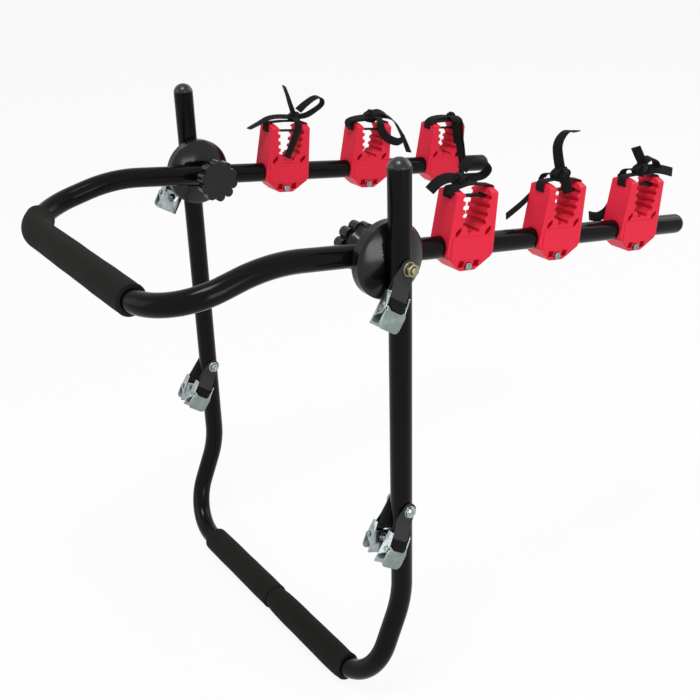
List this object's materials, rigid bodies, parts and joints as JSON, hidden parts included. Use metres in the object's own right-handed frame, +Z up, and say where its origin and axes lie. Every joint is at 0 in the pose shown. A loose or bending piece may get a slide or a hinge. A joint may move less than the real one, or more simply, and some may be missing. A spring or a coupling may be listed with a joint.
{
  "type": "trunk mounted bike rack",
  "caption": "Folding car-boot bike rack: a bent tube hoop with foam pads, hinged carrying arms on toothed clamp hubs, notched cradles with tie straps, and cam buckles on webbing tabs.",
  "frame": {"origin": "middle of the lower crossbar, on its centre line, inside the lower foam sleeves", "axes": "+X across the car to the rack's right side, +Y away from the car along the carrying arms, +Z up along the legs"},
  "size_m": [0.5242, 0.7714, 0.6801],
  "materials": {
    "tube_paint": "gloss black powder coat",
    "foam": "matte charcoal closed-cell foam",
    "hub_plastic": "satin black moulded plastic",
    "cap_plastic": "satin black moulded plastic",
    "cradle_plastic": "semi-gloss red moulded plastic",
    "tie_webbing": "woven black narrow webbing",
    "tab_webbing": "woven black webbing",
    "zinc_steel": "bright zinc plate",
    "yellow_zinc": "yellow passivated zinc plate"
  },
  "bodies": {
    "frame": {"main_hoop": "tube_paint", "leg_caps": "cap_plastic", "lower_foam_left": "foam", "lower_foam_right": "foam", "hub_outer_left": "hub_plastic", "hub_outer_right": "hub_plastic", "hub_nuts": "yellow_zinc", "hub_washers": "yellow_zinc", "lower_bolts": "zinc_steel", "lower_nuts": "zinc_steel", "lower_washers": "zinc_steel"},
    "arms": {"arms_hoop": "tube_paint", "arm_caps": "cap_plastic", "upper_foam": "foam", "hub_inner_left": "hub_plastic", "hub_inner_right": "hub_plastic", "cradle_bolts": "zinc_steel", "cradle_nuts": "zinc_steel", "cradle_left_1": "cradle_plastic", "cradle_left_2": "cradle_plastic", "cradle_left_3": "cradle_plastic", "cradle_right_1": "cradle_plastic", "cradle_right_2": "cradle_plastic", "cradle_right_3": "cradle_plastic", "tie_left_1": "tie_webbing", "tie_left_2": "tie_webbing", "tie_left_3": "tie_webbing", "tie_right_1": "tie_webbing", "tie_right_2": "tie_webbing", "tie_right_3": "tie_webbing"},
    "knob_left": {"knob_left": "hub_plastic", "stud_left": "yellow_zinc"},
    "knob_right": {"knob_right": "hub_plastic", "stud_right": "yellow_zinc"},
    "tab_upper_right": {"tab_upper_right": "tab_webbing", "buckle_upper_right": "zinc_steel", "pin_upper_right": "zinc_steel"},
    "lever_upper_right": {"lever_upper_right": "zinc_steel"},
    "tab_upper_left": {"tab_upper_left": "tab_webbing", "buckle_upper_left": "zinc_steel", "pin_upper_left": "zinc_steel"},
    "lever_upper_left": {"lever_upper_left": "zinc_steel"},
    "tab_outer_right": {"tab_outer_right": "tab_webbing", "buckle_outer_right": "zinc_steel", "pin_outer_right": "zinc_steel"},
    "lever_outer_right": {"lever_outer_right": "zinc_steel"},
    "tab_outer_left": {"tab_outer_left": "tab_webbing", "buckle_outer_left": "zinc_steel", "pin_outer_left": "zinc_steel"},
    "lever_outer_left": {"lever_outer_left": "zinc_steel"},
    "tab_inner_right": {"tab_inner_right": "tab_webbing", "buckle_inner_right": "zinc_steel", "pin_inner_right": "zinc_steel"},
    "lever_inner_right": {"lever_inner_right": "zinc_steel"},
    "tab_inner_left": {"tab_inner_left": "tab_webbing", "buckle_inner_left": "zinc_steel", "pin_inner_left": "zinc_steel"},
    "lever_inner_left": {"lever_inner_left": "zinc_steel"}
  },
  "joints": [
    {"name": "arms_fold", "type": "hinge", "parent": "frame", "child": "arms", "pos_m": [0, 0.05, 0.548], "axis": [1, 0, 0], "range_deg": [-70, 80]},
    {"name": "knob_right_turn", "type": "hinge", "parent": "frame", "child": "knob_right", "pos_m": [0.1798, 0.05, 0.548], "axis": [1, 0, 0], "continuous": true},
    {"name": "knob_left_turn", "type": "hinge", "parent": "frame", "child": "knob_left", "pos_m": [-0.1798, 0.05, 0.548], "axis": [-1, 0, 0], "continuous": true},
    {"name": "tab_upper_right_swing", "type": "hinge", "parent": "frame", "child": "tab_upper_right", "pos_m": [0.2477, 0.05, 0.548], "axis": [1, 0, 0], "range_deg": [-60, 30]},
    {"name": "lever_upper_right_press", "type": "hinge", "parent": "tab_upper_right", "child": "lever_upper_right", "pos_m": [0.2571, 0.02375, 0.50908], "axis": [0, 0.829, -0.5592], "range_deg": [0, 25], "stiffness_Nm_per_rad": 0.15, "springref_deg": -11.46},
    {"name": "tab_upper_left_swing", "type": "hinge", "parent": "frame", "child": "tab_upper_left", "pos_m": [-0.2477, 0.05, 0.548], "axis": [1, 0, 0], "range_deg": [-60, 30]},
    {"name": "lever_upper_left_press", "type": "hinge", "parent": "tab_upper_left", "child": "lever_upper_left", "pos_m": [-0.2571, 0.02512, 0.50818], "axis": [0, -0.848, 0.5299], "range_deg": [0, 25], "stiffness_Nm_per_rad": 0.15, "springref_deg": -11.46},
    {"name": "tab_outer_right_swing", "type": "hinge", "parent": "frame", "child": "tab_outer_right", "pos_m": [0.2477, 0.05, 0.251], "axis": [1, 0, 0], "range_deg": [-60, 30]},
    {"name": "lever_outer_right_press", "type": "hinge", "parent": "tab_outer_right", "child": "lever_outer_right", "pos_m": [0.2571, 0.02375, 0.21208], "axis": [0, 0.829, -0.5592], "range_deg": [0, 25], "stiffness_Nm_per_rad": 0.15, "springref_deg": -11.46},
    {"name": "tab_outer_left_swing", "type": "hinge", "parent": "frame", "child": "tab_outer_left", "pos_m": [-0.2477, 0.05, 0.251], "axis": [1, 0, 0], "range_deg": [-60, 30]},
    {"name": "lever_outer_left_press", "type": "hinge", "parent": "tab_outer_left", "child": "lever_outer_left", "pos_m": [-0.2571, 0.02868, 0.20917], "axis": [0, -0.891, 0.454], "range_deg": [0, 25], "stiffness_Nm_per_rad": 0.15, "springref_deg": -11.46},
    {"name": "tab_inner_right_swing", "type": "hinge", "parent": "frame", "child": "tab_inner_right", "pos_m": [0.2223, 0.05, 0.251], "axis": [1, 0, 0], "range_deg": [-60, 30]},
    {"name": "lever_inner_right_press", "type": "hinge", "parent": "tab_inner_right", "child": "lever_inner_right", "pos_m": [0.2129, 0.03241, 0.20747], "axis": [0, -0.9272, 0.3746], "range_deg": [0, 25], "stiffness_Nm_per_rad": 0.15, "springref_deg": -11.46},
    {"name": "tab_inner_left_swing", "type": "hinge", "parent": "frame", "child": "tab_inner_left", "pos_m": [-0.2223, 0.05, 0.251], "axis": [1, 0, 0], "range_deg": [-60, 30]},
    {"name": "lever_inner_left_press", "type": "hinge", "parent": "tab_inner_left", "child": "lever_inner_left", "pos_m": [-0.2129, 0.02175, 0.2135], "axis": [0, 0.7986, -0.6018], "range_deg": [0, 25], "stiffness_Nm_per_rad": 0.15, "springref_deg": -11.46}
  ]
}
